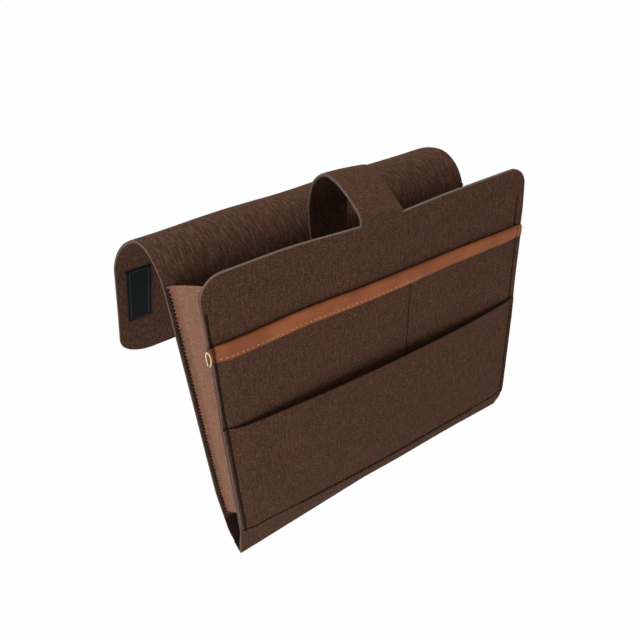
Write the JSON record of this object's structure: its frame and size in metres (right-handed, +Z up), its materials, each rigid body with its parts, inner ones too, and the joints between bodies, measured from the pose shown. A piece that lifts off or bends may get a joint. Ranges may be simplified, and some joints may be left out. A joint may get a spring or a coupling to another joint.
{
  "type": "felt bedside caddy",
  "caption": "Felt caddy that hangs over a bed rail, with an arched rear flap, a gusseted main pocket, front pockets with leather trim and a closing strap.",
  "frame": {"origin": "on the rear face of the back panel, on the middle line of the width, 160 mm below the top edge of the front panel", "axes": "+Y out of the rear face towards the bed, +X to the right as seen from the front, +Z up"},
  "size_m": [0.3324, 0.3722, 0.3579],
  "materials": {
    "dark_felt": "dark brown pressed felt, matt, with fine fibres",
    "gusset_felt": "thin pink-brown felt, matt",
    "tan_leather": "smooth tan leather with a soft sheen",
    "hook_tape": "black nylon hook tape",
    "dark_thread": "dark brown sewing thread",
    "tan_thread": "light tan sewing thread"
  },
  "bodies": {
    "root": {"back_panel": "dark_felt", "left_gusset": "gusset_felt", "right_gusset": "gusset_felt"},
    "flap": {"rear_flap": "dark_felt", "left_hook_patch": "hook_tape", "right_hook_patch": "hook_tape"},
    "front": {"front_panel": "dark_felt", "upper_pocket": "dark_felt", "lower_pocket": "dark_felt", "leather_trim": "tan_leather", "left_front_seam": "dark_thread", "right_front_seam": "dark_thread", "lower_pocket_seam": "dark_thread", "divider_seam": "dark_thread", "trim_seam": "tan_thread", "closure_strap": "dark_felt"},
    "strap_tab": {"strap_tab": "dark_felt", "strap_hook_patch": "hook_tape"}
  },
  "joints": [
    {"name": "flap_swing", "type": "hinge", "parent": "root", "child": "flap", "pos_m": [0, 0.0331, 0.1507], "axis": [1, 0, 0], "range_deg": [-50, 55], "stiffness_Nm_per_rad": 0.6, "springref_deg": 14.56},
    {"name": "pocket_close", "type": "hinge", "parent": "root", "child": "front", "pos_m": [0, -0.0387, -0.1626], "axis": [1, 0, 0], "range_deg": [-11, 0], "deforming": ["left_gusset", "right_gusset", "closure_strap"]},
    {"name": "tab_peel", "type": "hinge", "parent": "root", "child": "strap_tab", "pos_m": [0, -0.0067, 0.105], "axis": [-1, 0, 0], "range_deg": [0, 25]}
  ]
}
